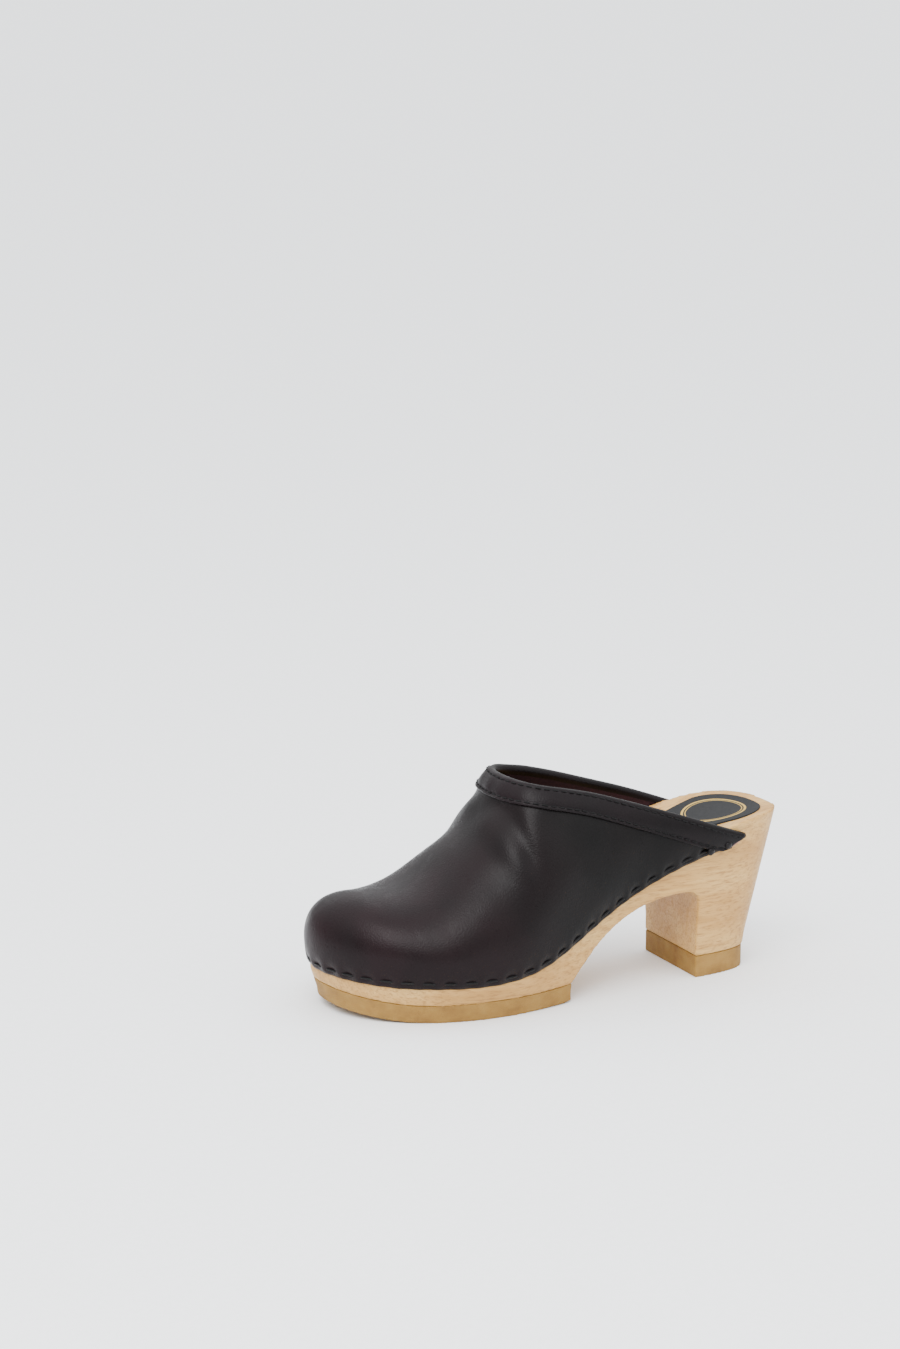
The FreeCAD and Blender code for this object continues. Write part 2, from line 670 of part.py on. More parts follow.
def main():
    leather, trim = size("leather_thickness"), size("trim_thickness")
    outer_last, inner_last = last(0), last(-leather)
    trim_outer, trim_inner = last(trim), last(-leather - trim)
    before_end = ahead_of_end()

    prototypes = {
        "staple": staple(),
        "trim_nail": nail("trim_nail", "Sizes.trim_nail_head_radius", "Sizes.trim_nail_head_height",
                          "Sizes.trim_nail_shank_radius", "Sizes.trim_nail_length"),
        "lift_nail": nail("lift_nail", "Sizes.lift_nail_head_radius", "Sizes.lift_nail_head_height",
                          "Sizes.lift_nail_shank_radius", "Sizes.lift_nail_length"),
        "tack": nail("tack", "Sizes.tack_head_radius", "Sizes.tack_head_height",
                     "Sizes.tack_shank_radius", "Sizes.tack_length"),
        "stitch": stitch(),
    }
    doc.recompute()
    shapes = {name: obj.Shape.copy() for name, obj in prototypes.items()}
    shapes["trim_nail"].translate(Vec(0, 0, -size("trim_nail_sink")))

    # fasteners in their places
    staples = fasteners_on(staple_places(outer_last), outer_last, shapes["staple"])
    trim_nails = fasteners_on(trim_nail_places(trim_outer), trim_outer, shapes["trim_nail"])
    heel_nails = lift_nails(shapes["lift_nail"])
    tacks = outsole_tacks(shapes["tack"])
    end = back(size("collar_before_back"))
    low_row = stitches(trim_outer, collar_curve(size("trim_width") - size("stitch_inset")),
                       end - size("collar_end_slant") - size("stitch_length"), shapes["stitch"])
    high_row = stitches(trim_outer, collar_curve(size("stitch_inset")), end - size("stitch_length"),
                        shapes["stitch"])

    # wood, with the rabbet that the leather is fixed into
    footbed = footbed_face()
    rabbet = above(EDGE).common(before_end).cut(inner_last)
    block = sole_block().common(wood_profile()).cut(footbed.extrude(Vec(0, 0, HIGH)))
    wood = block.cut(rabbet).cut(staples + trim_nails + heel_nails + tacks)
    piece(sculpted("wood", one_solid(wood)), "wood_sole")

    # leather upper, and the band folded over its top edge
    wall = outer_last.cut(inner_last)
    covered = below(collar_curve(trim))
    upper = wall.common(covered.common(above(EDGE)).common(before_end))
    piece(sculpted("upper", one_solid(upper.cut(staples + trim_nails))), "leather_upper")
    band_side = below(collar_curve(0)).common(above(collar_curve(size("trim_width")))).common(
        above(EDGE)).common(before_end)
    wood_top = inner_last.common(below(rim_curve(-size("trim_clearance"))))
    band = trim_outer.cut(trim_inner).common(band_side).cut(wall.common(covered)).cut(wood_top)
    piece(sculpted("band", one_solid(one_solid(band).cut(trim_nails))), "collar_trim")

    # toe stiffener inside the toe box
    hidden = -leather - size("stiffener_gap")
    board = last(hidden).cut(last(hidden - size("stiffener_thickness")))
    board = board.common(above(rim_curve(-size("stiffener_rise")))).common(ahead_of(size("stiffener_length")))
    piece(sculpted("stiffener", one_solid(board)), "toe_stiffener")

    piece(outsole(tacks), "rubber_outsole")
    piece(heel_lift(heel_nails), "heel_lift")
    piece(sculpted("label", seat_label(footbed)), "heel_label")

    toe_end = at(size("corner_station"))
    toe = [one for one in staples if one.BoundBox.Center.x < toe_end]
    rest = [one for one in staples if one.BoundBox.Center.x >= toe_end]
    for label, group in (
            ("staples_toe", toe),
            ("staples_outer_side", [one for one in rest if one.BoundBox.Center.y < MID_SIDE]),
            ("staples_inner_side", [one for one in rest if one.BoundBox.Center.y >= MID_SIDE]),
            ("trim_nails", trim_nails),
            ("trim_thread_low_row", low_row),
            ("trim_thread_high_row", high_row),
            ("heel_lift_nails", heel_nails),
            ("outsole_tacks", tacks)):
        piece(sculpted(label + "_set", Part.makeCompound(group)), label)


main()
doc.recompute()
for obj in doc.Objects:
    assert not {"Invalid", "Error"} & set(obj.State), "%s failed: %s" % (obj.Name, obj.State)
for obj in PIECES:
    assert not obj.Shape.isNull() and obj.Shape.isValid() and obj.Shape.Solids, obj.Label
os.makedirs("parts", exist_ok=True)
for obj in PIECES:
    obj.Shape.exportStep("parts/%s.step" % obj.Label)
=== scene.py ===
import math

import bmesh
import bpy
import numpy as np
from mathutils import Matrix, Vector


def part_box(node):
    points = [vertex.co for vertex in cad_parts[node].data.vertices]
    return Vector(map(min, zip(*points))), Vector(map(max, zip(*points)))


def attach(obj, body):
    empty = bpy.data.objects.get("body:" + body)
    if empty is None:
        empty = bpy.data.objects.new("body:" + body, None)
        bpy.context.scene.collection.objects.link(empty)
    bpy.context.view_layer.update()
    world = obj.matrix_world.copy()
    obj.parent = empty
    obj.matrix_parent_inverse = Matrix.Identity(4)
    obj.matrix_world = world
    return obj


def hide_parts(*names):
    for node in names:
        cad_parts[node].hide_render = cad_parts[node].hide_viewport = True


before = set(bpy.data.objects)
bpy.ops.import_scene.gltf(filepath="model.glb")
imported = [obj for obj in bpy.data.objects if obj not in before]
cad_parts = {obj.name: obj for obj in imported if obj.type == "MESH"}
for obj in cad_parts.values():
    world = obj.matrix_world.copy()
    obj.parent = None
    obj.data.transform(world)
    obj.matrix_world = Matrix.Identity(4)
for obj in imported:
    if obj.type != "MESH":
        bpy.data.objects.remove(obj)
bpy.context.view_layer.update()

# A left wooden clog, seen on a pale floor. X runs from toe to heel, Y from the outer to the inner side.
# Shapes are worked out in millimetres, with stations measured from the wood's toe tip, and mesh() turns
# them into metres.

MM = 0.001
LOW, HIGH = (np.array(corner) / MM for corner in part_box("wood_sole"))
LENGTH = HIGH[0] - LOW[0]
TIP_X = LOW[0]                       # X of station 0
AXIS_Y = 1.75                        # the shoe's long axis, beside the middle of its box

# the wood
BALL = 84.0                          # station of the widest place
WAIST = LENGTH - 93.0                # station of the narrowest place
SEAT = LENGTH - 30.0                 # station of the heel seat's middle
SEAT_HALF = 30.5                     # half width of the seat on the outer side
HEEL_CORNER = LENGTH - 8.5           # station where the back begins to turn across
FORE_RIM, SEAT_RIM = 28.0, 80.0      # height of the rim at the forefoot, and what it climbs to at the heel
RABBET = 9.5                         # how far the leather's lower edge lies below the rim
DISH = 2.2                           # depth of the hollowed footbed

# the leather upper
OVERHANG = 3.5                       # how far the leather bulges beyond the wood
BULGE_HEIGHT = 13.0                  # its widest line above the lower edge
BULGE_REACH = 40.0                   # depth of the lower half ellipse
LEATHER = 2.2                        # its thickness
THROAT = 94.0                        # station of the opening's front
THROAT_HEIGHT = 110.0
TOE_BOX = 24.0                       # station of the toe box's top
TOE_BOX_HEIGHT = 57.0
COLLAR_END = LENGTH - 31.0
END_RISE = 4.0                       # height of the collar's end above the leather's lower edge
END_SLANT = 9.0                      # how far the leather's end leans back from the wood to the collar
TRIM_WIDTH = 12.5
TRIM = 1.3                           # its thickness

# staples, stitches and nails
STAPLE_PITCH = 10.3
STAPLE_RISE = 3.4                    # the staples' row above the leather's lower edge
STAPLE_CLEAR = TRIM_WIDTH + 3.0      # the row stops this far from the leather's ends
STITCH_PITCH = 4.2
STITCH_CLEAR = 1.8                   # the stitches stop this far from the trim's ends
TOE_REACH = 28.0                     # staples ahead of this station go round the toe
NAILS_AHEAD = (12.0, 21.0)           # the trim's nails, ahead of the collar's end

# the label on the heel seat and the ring printed on it
LABEL_MARGIN, LABEL_LONG, LABEL_NECK = 7.5, 62.0, 13.0
LABEL_Y = -0.5                       # its middle, beside the shoe's long axis
RING_X = LENGTH - 31.0               # middle of the printed ring
RING_LONG, RING_WIDE = 16.5, 17.0    # its half lengths

RIBS, STEPS = 361, 121               # ribs round the upper, and steps up each rib
INSIDE = np.array([120.0, 0, 40.0])  # a point inside the shoe
MERGE = 1e-6                         # vertices closer than this many metres are one


# ------------------------------------------------------------------ curves

def slopes(knots, values, closed):
    """Slope at each knot of the curve through them whose bending is continuous."""
    count = len(knots)
    gap = np.diff(knots)
    rate = np.diff(values, axis=0) / gap[:, None]
    system, want = np.zeros((count, count)), np.zeros_like(values)
    inner = np.arange(1, count - 1)
    system[inner, inner - 1] = gap[1:]
    system[inner, inner] = 2 * (gap[1:] + gap[:-1])
    system[inner, inner + 1] = gap[:-1]
    want[1:-1] = 3 * (rate[:-1] * gap[1:, None] + rate[1:] * gap[:-1, None])
    if closed:
        system[0, [0, -1]] = 1, -1
        system[-1, [0, 1, -2, -1]] = 2 * gap[-1], gap[-1], gap[0], 2 * gap[0]
        want[-1] = 3 * (rate[0] * gap[-1] + rate[-1] * gap[0])
    else:
        system[0, :2], system[-1, -2:] = (2, 1), (1, 2)
        want[0], want[-1] = 3 * rate[0], 3 * rate[-1]
    return np.linalg.solve(system, want)


def through(knots, values, at, closed=False):
    """A smooth curve through the knots: cubic pieces, straight beyond the ends. closed makes it a loop."""
    knots = np.asarray(knots, float)
    values = np.asarray(values, float).reshape(len(knots), -1)
    slope = slopes(knots, values, closed)
    at = np.asarray(at, float)
    where = np.clip(at, knots[0], knots[-1])
    i = np.clip(np.searchsorted(knots, where, side="right") - 1, 0, len(knots) - 2)
    h = (knots[i + 1] - knots[i])[..., None]
    u = (where - knots[i])[..., None] / h
    out = ((2 * u**3 - 3 * u**2 + 1) * values[i] + (u**3 - 2 * u**2 + u) * h * slope[i]
           + (3 * u**2 - 2 * u**3) * values[i + 1] + (u**3 - u**2) * h * slope[i + 1])
    out = out + (at - where)[..., None] * np.where((at > where)[..., None], slope[-1], slope[0])
    return out[..., 0] if out.shape[-1] == 1 else out


def smoothstep(x, low, high):
    """0 below low, 1 above high, an S-curve between."""
    u = np.clip((x - low) / (high - low), 0, 1)
    return u * u * (3 - 2 * u)


# ------------------------------------------------------------------ the sole's plan and side curves

TIP_Y = 11
PLAN_OUTER = [(7, 13.5), (28, 35.5), (BALL, 46.5), (WAIST, 32.5), (SEAT, SEAT_HALF), (HEEL_CORNER, 21)]
PLAN_INNER = [(7, 27), (28, 39.5), (BALL, 43), (WAIST, 32), (SEAT, 29.5), (HEEL_CORNER, 20)]


def plan(count=1200):
    """The wood's plan at its rim, anticlockwise from the toe tip: a closed curve through its turns."""
    tip, outer = [(0, TIP_Y)], [(x, -y) for x, y in PLAN_OUTER]
    points = np.array(tip + outer + [(LENGTH, 0)] + PLAN_INNER[::-1] + tip, float)
    knots = np.r_[0, np.cumsum(np.linalg.norm(np.diff(points, axis=0), axis=1))]
    return through(knots, points, np.linspace(0, knots[-1], count, endpoint=False), closed=True)


def grow(outline, by):
    """A closed plan moved outwards along its own normal."""
    along = np.roll(outline, -1, 0) - np.roll(outline, 1, 0)
    along /= np.linalg.norm(along, axis=1)[:, None]
    return outline + by * np.stack([along[:, 1], -along[:, 0]], 1)


PLAN = plan()

# stations, and the share of the climb from FORE_RIM to SEAT_RIM that the rim has made there
CLIMB = SEAT - BALL
RIM_SHARES = [(-20, 0.07), (BALL * 0.55, 0), (BALL + CLIMB * 0.12, 0.10), (BALL + CLIMB * 0.33, 0.36),
              (BALL + CLIMB * 0.60, 0.69), (BALL + CLIMB * 0.84, 0.90), (SEAT, 0.98), (LENGTH + 20, 1.05)]


def rim(x):
    """Height of the wood's rim along the shoe."""
    knots, shares = zip(*RIM_SHARES)
    return FORE_RIM + (SEAT_RIM - FORE_RIM) * through(knots, shares, x)


def edge(x):
    """Height of the leather's lower edge."""
    return rim(x) - RABBET


def crest(x):
    """Height of the top of the foot's form along the shoe."""
    points = [(0, TOE_BOX_HEIGHT - 12), (TOE_BOX * 0.3, TOE_BOX_HEIGHT - 5), (TOE_BOX, TOE_BOX_HEIGHT),
              (THROAT * 0.5, TOE_BOX_HEIGHT + 5), (THROAT * 0.7, TOE_BOX_HEIGHT + 18),
              (THROAT * 0.86, THROAT_HEIGHT - 21), (THROAT, THROAT_HEIGHT),
              (THROAT + 30, THROAT_HEIGHT + 12), (THROAT + 171, THROAT_HEIGHT + 12)]
    knots, heights = zip(*points)
    return through(knots, heights, x)


def collar(x):
    """Height of the opening's edge in side view."""
    run = COLLAR_END - THROAT
    fall = THROAT_HEIGHT - (edge(COLLAR_END) + END_RISE)
    points = [(THROAT - 40, -0.22), (THROAT, 0), (THROAT + run * 0.25, 0.16), (THROAT + run * 0.5, 0.41),
              (THROAT + run * 0.75, 0.69), (COLLAR_END, 1), (COLLAR_END + 20, 1.2)]
    knots, shares = zip(*points)
    return THROAT_HEIGHT - fall * through(knots, shares, x)


# ------------------------------------------------------------------ the form that the leather is shaped on

def halves(outline):
    """Functions giving a plan's outer and inner Y at a station."""
    start, end = int(np.argmin(outline[:, 0])), int(np.argmax(outline[:, 0]))
    ring = np.roll(outline, -start, 0)
    turn = (end - start) % len(ring)
    outer, inner = ring[:turn + 1], np.vstack([ring[turn:], ring[:1]])[::-1]

    def reader(edge_line):
        """A function that reads the line's Y at a station."""
        return lambda x: np.interp(x, edge_line[:, 0], edge_line[:, 1])

    return reader(outer), reader(inner)


class Form:
    """The last: cross-sections are two half ellipses joined at the widest line; the toe closes to a nose."""

    nose_long, nose_high = 2.6, 2.2      # powers of the superellipse that closes the toe in side view
    axis_start = 34.0                    # the axis that rays leave begins at this station
    halvings = 40                        # how often the search along a ray halves its step

    def __init__(self):
        self.nose = -OVERHANG
        self.outer, self.inner = halves(grow(PLAN, OVERHANG))

    def low(self, x):
        """Height of the widest line."""
        return edge(np.maximum(x, 0.5)) + BULGE_HEIGHT

    def top(self, x):
        """Height of the form's top: the crest, and a superellipse down to the nose ahead of the toe box."""
        share = np.clip((x - self.nose) / (TOE_BOX - self.nose), 0, 1)
        low = self.low(x)
        nosed = low + (TOE_BOX_HEIGHT - low) * (1 - (1 - share) ** self.nose_long) ** (1 / self.nose_high)
        return np.where(x < TOE_BOX, nosed, crest(x))

    def inside(self, p):
        """Below 1 inside the form, above 1 outside."""
        x, y, z = p[..., 0], p[..., 1], p[..., 2]
        outer, inner = self.outer(x), self.inner(x)
        middle, half = (outer + inner) / 2, np.maximum((inner - outer) / 2, 1e-3)
        low = self.low(x)
        reach = np.where(x < TOE_BOX, np.minimum(BULGE_REACH, half), BULGE_REACH)
        height = np.where(z > low, np.maximum(self.top(x) - low, 1e-3), reach)
        value = ((y - middle) / half) ** 2 + ((z - low) / height) ** 2
        ahead_of_nose = 9.0
        return np.where(x <= self.nose, ahead_of_nose, value)

    def project(self, p):
        """Points moved along rays from the form's axis to its skin."""
        start_x = np.maximum(p[..., 0], self.axis_start)
        middle = (self.outer(start_x) + self.inner(start_x)) / 2
        axis = np.stack([start_x, middle, self.low(start_x)], -1)
        ray = p - axis
        near, far = np.full(p.shape[:-1], 0.02), np.full(p.shape[:-1], 3.0)
        for _ in range(self.halvings):
            guess = (near + far) / 2
            out = self.inside(axis + ray * guess[..., None]) > 1
            far, near = np.where(out, guess, far), np.where(out, near, guess)
        return axis + ray * near[..., None]


FORM = Form()


def rib_ends():
    """Lower and upper end of each rib, from the outer heel end round the toe to the inner heel end."""
    start = int(np.argmin(PLAN[:, 0]))
    ring = np.roll(PLAN, -start, 0)
    s = np.linspace(-1, 1, RIBS)
    normal_ring = grow(ring, 1.0) - ring
    low = np.zeros((RIBS, 3))
    out = np.zeros((RIBS, 2))
    for sign in (-1, 1):
        walk = ring if sign < 0 else np.vstack([ring[:1], ring[::-1]])
        away = normal_ring if sign < 0 else np.vstack([normal_ring[:1], normal_ring[::-1]])
        stop = int(np.argmax(walk[:, 0] >= COLLAR_END - END_SLANT))
        walk, away = walk[:stop + 1], away[:stop + 1]
        length = np.r_[0, np.cumsum(np.linalg.norm(np.diff(walk, axis=0), axis=1))]
        pick = s <= 0 if sign < 0 else s >= 0
        want = np.abs(s[pick]) * length[-1]
        for k in (0, 1):
            low[pick, k] = np.interp(want, length, walk[:, k])
            out[pick, k] = np.interp(want, length, away[:, k])
    low[:, 2] = edge(low[:, 0])
    # the ribs crowd together at the throat, where the collar turns across the foot
    share = np.abs(s) * (0.35 + 0.65 * np.abs(s))
    bend = 1.4
    x = THROAT + (COLLAR_END - THROAT) * share**2 * (1 + bend) / (1 + bend * share)
    z = collar(x)
    outer, inner, base = FORM.outer(x), FORM.inner(x), FORM.low(x)
    lift = np.clip((z - base) / (FORM.top(x) - base), -1, 1)
    y = (outer + inner) / 2 + np.sign(s) * (inner - outer) / 2 * np.sqrt(1 - lift**2)
    return s, low, out, np.stack([x, y, z], 1)


# the two handles of a rib's Bezier curve
TOE_BLEND = 0.75                     # share of the way round over which the toe's shape becomes the side's
FIRST_OUT = 5.0                      # the lower handle leans outwards by this
FIRST_FULL = 40.0                    # ribs shorter than this lean less
FIRST_UP, FIRST_UP_TOE = 18.0, 22.0  # its rise, and what the toe adds
FIRST_MOST = 0.38                    # the most that it may rise, over the rib's span
SECOND_OUT = 0.35                    # how far the upper handle leans outwards as it goes down
SECOND_LONG = 0.36                   # its length over the rib's span


def shell_grid():
    """The leather's outer skin: each rib is a Bezier curve from the lower edge to the collar, on the form."""
    s, low, out, high = rib_ends()
    v = np.linspace(0, 1, STEPS)[None, :, None]
    toe = (1 - smoothstep(np.abs(s), 0.0, TOE_BLEND))[:, None]
    across = np.gradient(high, axis=0)
    across /= np.linalg.norm(across, axis=1)[:, None]
    span = np.linalg.norm(high - low, axis=1)[:, None]
    climb = np.minimum(FIRST_UP + FIRST_UP_TOE * toe[:, 0], span[:, 0] * FIRST_MOST)
    first = low + np.c_[out * FIRST_OUT * np.minimum(span / FIRST_FULL, 1), climb]
    away = np.c_[out * SECOND_OUT, -np.ones(RIBS)] * (1 - toe) + np.array([-1.0, 0, -1.0]) * toe
    away -= across * np.sum(away * across, axis=1)[:, None]
    away /= np.linalg.norm(away, axis=1)[:, None]
    second = high + away * span * SECOND_LONG
    ribs = ((1 - v)**3 * low[:, None] + 3 * v * (1 - v)**2 * first[:, None]
            + 3 * v**2 * (1 - v) * second[:, None] + v**3 * high[:, None])
    skin = FORM.project(ribs)
    up = lengths(skin, 1)
    return mix_rows(skin, up, up[:, -1:] * np.linspace(0, 1, STEPS))


def normals(grid):
    """Unit normals of a grid surface, pointing away from the shoe's inside."""
    cross = np.cross(np.gradient(grid, axis=0), np.gradient(grid, axis=1))
    cross /= np.maximum(np.linalg.norm(cross, axis=-1), 1e-9)[..., None]
    facing = np.sum(cross * (grid - INSIDE), axis=-1)
    return cross if np.mean(facing) > 0 else -cross


def lengths(grid, axis):
    """Distance travelled along one direction of a grid."""
    step = np.linalg.norm(np.diff(grid, axis=axis), axis=-1)
    return np.concatenate([np.zeros_like(np.take(step, [0], axis)), np.cumsum(step, axis=axis)], axis=axis)


def mix_rows(values, where, want):
    """Each row of values read at its own places: linear between samples."""
    out = np.empty(want.shape + values.shape[2:])
    for row in range(len(values)):
        for k in range(values.shape[2]):
            out[row, :, k] = np.interp(want[row], where[row], values[row, :, k])
    return out


# ------------------------------------------------------------------ meshes

def to_metres(points):
    """Shoe stations in millimetres to the frame in metres."""
    return (np.asarray(points, float) + np.array([TIP_X, AXIS_Y, 0.0])) * MM


def mesh(name, points, faces, materials, choice=None, smooth=True):
    """A mesh object with its place in its vertices. choice gives each face's material."""
    data = bpy.data.meshes.new(name)
    data.from_pydata(to_metres(points).tolist(), [], faces.tolist() if hasattr(faces, "tolist") else faces)
    obj = bpy.data.objects.new(name, data)
    bpy.context.scene.collection.objects.link(obj)
    for material in materials:
        data.materials.append(material)
    if choice is not None:
        data.polygons.foreach_set("material_index", np.asarray(choice, np.int32))
    data.polygons.foreach_set("use_smooth", np.full(len(data.polygons), smooth))
    data.validate()
    work = bmesh.new()
    work.from_mesh(data)
    bmesh.ops.remove_doubles(work, verts=work.verts, dist=MERGE)
    bmesh.ops.recalc_face_normals(work, faces=work.faces)
    work.to_mesh(data)
    work.free()
    return obj


def grid_faces(rows, columns, start=0, wrap_rows=False, wrap_columns=False):
    """Quads of a grid whose vertices run row by row."""
    i = np.arange(rows if wrap_rows else rows - 1)[:, None]
    j = np.arange(columns if wrap_columns else columns - 1)[None, :]
    a = i * columns + j
    b = ((i + 1) % rows) * columns + j
    c = ((i + 1) % rows) * columns + (j + 1) % columns
    d = i * columns + (j + 1) % columns
    return np.stack(np.broadcast_arrays(a, b, c, d), -1).reshape(-1, 4) + start


def tube_block(loops):
    """A solid from closed loops carried along a path, with flat ends: loops is (path, around, 3)."""
    rows, columns = loops.shape[:2]
    faces = grid_faces(rows, columns, wrap_columns=True).tolist()
    faces.append(list(range(columns)))
    faces.append(list(range((rows - 1) * columns, rows * columns))[::-1])
    return loops.reshape(-1, 3), faces


def many(template, faces, centres, along, out):
    """Copies of one small shape set along a path, X along the path and Z outwards."""
    across = np.cross(out, along)
    frames = np.stack([along, across, out], 1)
    points = np.einsum("vk,nkj->nvj", template, frames) + centres[:, None]
    count = len(template)
    return points.reshape(-1, 3), np.vstack([faces + count * n for n in range(len(centres))])


def rounded_tube(path, radius, sides=8):
    """A round wire along a short path in the XZ plane, its ends drawn in almost to points."""
    end_share = 0.05
    path = np.asarray(path, float)
    along = np.gradient(path, axis=0)
    along /= np.linalg.norm(along, axis=1)[:, None]
    square = np.stack([-along[:, 2], np.zeros(len(path)), along[:, 0]], 1)
    turn = np.linspace(0, 2 * np.pi, sides, endpoint=False)
    widths = np.full(len(path), radius)
    widths[[0, -1]] = radius * end_share
    turn = turn[None, :, None]
    ring = square[:, None] * np.cos(turn) + np.array([0, 1.0, 0]) * np.sin(turn)
    points = path[:, None] + ring * widths[:, None, None]
    return points.reshape(-1, 3), grid_faces(len(path), sides, wrap_columns=True)


def shell(outer, inner):
    """A closed sheet between two grids of the same size: both skins and a strip round the border."""
    rows, columns = outer.shape[:2]
    count = rows * columns
    index = np.arange(count).reshape(rows, columns)
    border = np.concatenate([index[0, :-1], index[:-1, -1], index[-1, :0:-1], index[:0:-1, 0]])
    after = np.roll(border, -1)
    strip = np.stack([border, after, after + count, border + count], 1)
    faces = np.vstack([grid_faces(rows, columns), grid_faces(rows, columns, count)[:, ::-1], strip])
    return np.vstack([outer.reshape(-1, 3), inner.reshape(-1, 3)]), faces


# ------------------------------------------------------------------ the leather upper

def band_line(skin, normal, distance, from_collar=False):
    """The line that keeps one distance up from the lower edge, or down from the collar, with its normals."""
    up = lengths(skin, 1)
    want = (up[:, -1:] - distance) if from_collar else np.full((len(skin), 1), float(distance))
    return mix_rows(skin, up, want)[:, 0], mix_rows(normal, up, want)[:, 0]


def spaced(line, out, pitch, trim_ends):
    """Places a pitch apart on a line: points, directions and outward normals, keeping clear of both ends."""
    gone = np.r_[0, np.cumsum(np.linalg.norm(np.diff(line, axis=0), axis=1))]
    count = int((gone[-1] - 2 * trim_ends) // pitch)
    first = (gone[-1] - count * pitch) / 2
    want = first + pitch * np.arange(count + 1)

    def read(values, where):
        """The values at distances along the line."""
        return np.stack([np.interp(where, gone, values[:, k]) for k in range(3)], 1)

    point = read(line, want)
    along = read(line, want + 1) - read(line, want - 1)
    along /= np.linalg.norm(along, axis=1)[:, None]
    away = read(out, want)
    away -= along * np.sum(away * along, axis=1)[:, None]
    away /= np.linalg.norm(away, axis=1)[:, None]
    return point, along, away, want


SKIN = shell_grid()
NORMAL = normals(SKIN)

DENT_DEEP, DENT_LONG, DENT_HIGH = 0.62, 3.1, 2.6         # the hollow under a staple and its half lengths
SWELL_HIGH, SWELL_GAP, SWELL_SPREAD = 0.42, 3.4, 4.5     # the leather's swell between two staples

# side, station and height of the top end, lean, length, half width and depth of each fold
FOLDS = [(-1, 87, 100, 0.2, 36, 4.2, 1.4), (1, 90, 98, 0.2, 34, 4.5, 1.1), (-1, 118, 86, 0.1, 24, 7.0, 0.4)]
FOLD_CLEAR = 14.0                    # a fold fades in over this distance from the long axis
# the ridge beside a fold, over the fold's own depth and half width
RIDGE_SHARE, RIDGE_BESIDE, RIDGE_WIDE = 0.7, 1.9, 1.3


def dents(skin):
    """How far the leather rises along its lower edge: pressed in under each staple by a bell shape along the
    edge times one up the side, and swollen between two staples."""
    line, out = band_line(skin, NORMAL, STAPLE_RISE)
    gone = np.r_[0, np.cumsum(np.linalg.norm(np.diff(line, axis=0), axis=1))]
    places = spaced(line, out, STAPLE_PITCH, STAPLE_CLEAR)[3]
    near = np.min(np.abs(gone[:, None] - places[None]), axis=1)
    above = lengths(skin, 1) - STAPLE_RISE
    pressed = np.exp(-(near / DENT_LONG)**4)[:, None] * np.exp(-(above / DENT_HIGH)**2)
    swell = (1 - np.exp(-(near / SWELL_GAP)**2))[:, None] * np.exp(-(above / SWELL_SPREAD)**2)
    return SWELL_HIGH * swell - DENT_DEEP * pressed


def folds(skin):
    """Soft folds: a bell-shaped valley with a ridge beside it along each fold's line, and a slow waviness."""
    x, y, z = skin[..., 0], skin[..., 1], skin[..., 2]
    depth = np.zeros(x.shape)
    for side, top_x, top_z, lean, long, wide, deep in FOLDS:
        down = (top_z - z) / long
        off = x - (top_x + lean * (top_z - z))
        ends = smoothstep(down, -0.25, 0.12) * (1 - smoothstep(down, 0.55, 1.0))
        fade = ends * smoothstep(side * y, 0, FOLD_CLEAR)
        ridge = RIDGE_SHARE * np.exp(-((off + RIDGE_BESIDE * wide) / (RIDGE_WIDE * wide))**2)
        depth += fade * deep * (np.exp(-(off / wide)**2) - ridge)
    slow = 0.25 * np.sin(x / 11 + 1.3) * np.sin(z / 9 + y / 16) + 0.18 * np.sin(x / 5.7 - z / 7.3 + y / 21)
    return slow - depth


def leather_upper():
    """The leather sheet: the skin ending just inside the trim, pressed at the staples and gently folded."""
    up = lengths(SKIN, 1)
    total = up[:, -1:]
    tucked = 0.5 * (1 - smoothstep(up, 0, 1.6))
    # the folds fade out towards the wood and under the trim
    folded = folds(SKIN) * smoothstep(up, 2, 14) * smoothstep(total - up, 6, 16)
    lift = dents(SKIN) + folded - tucked
    outer = SKIN + NORMAL * lift[..., None]
    inner = SKIN - NORMAL * LEATHER
    trim_clear = 0.3
    want = (total - TRIM - trim_clear) * np.linspace(0, 1, STEPS)
    return shell(mix_rows(outer, up, want), mix_rows(inner, up, want))


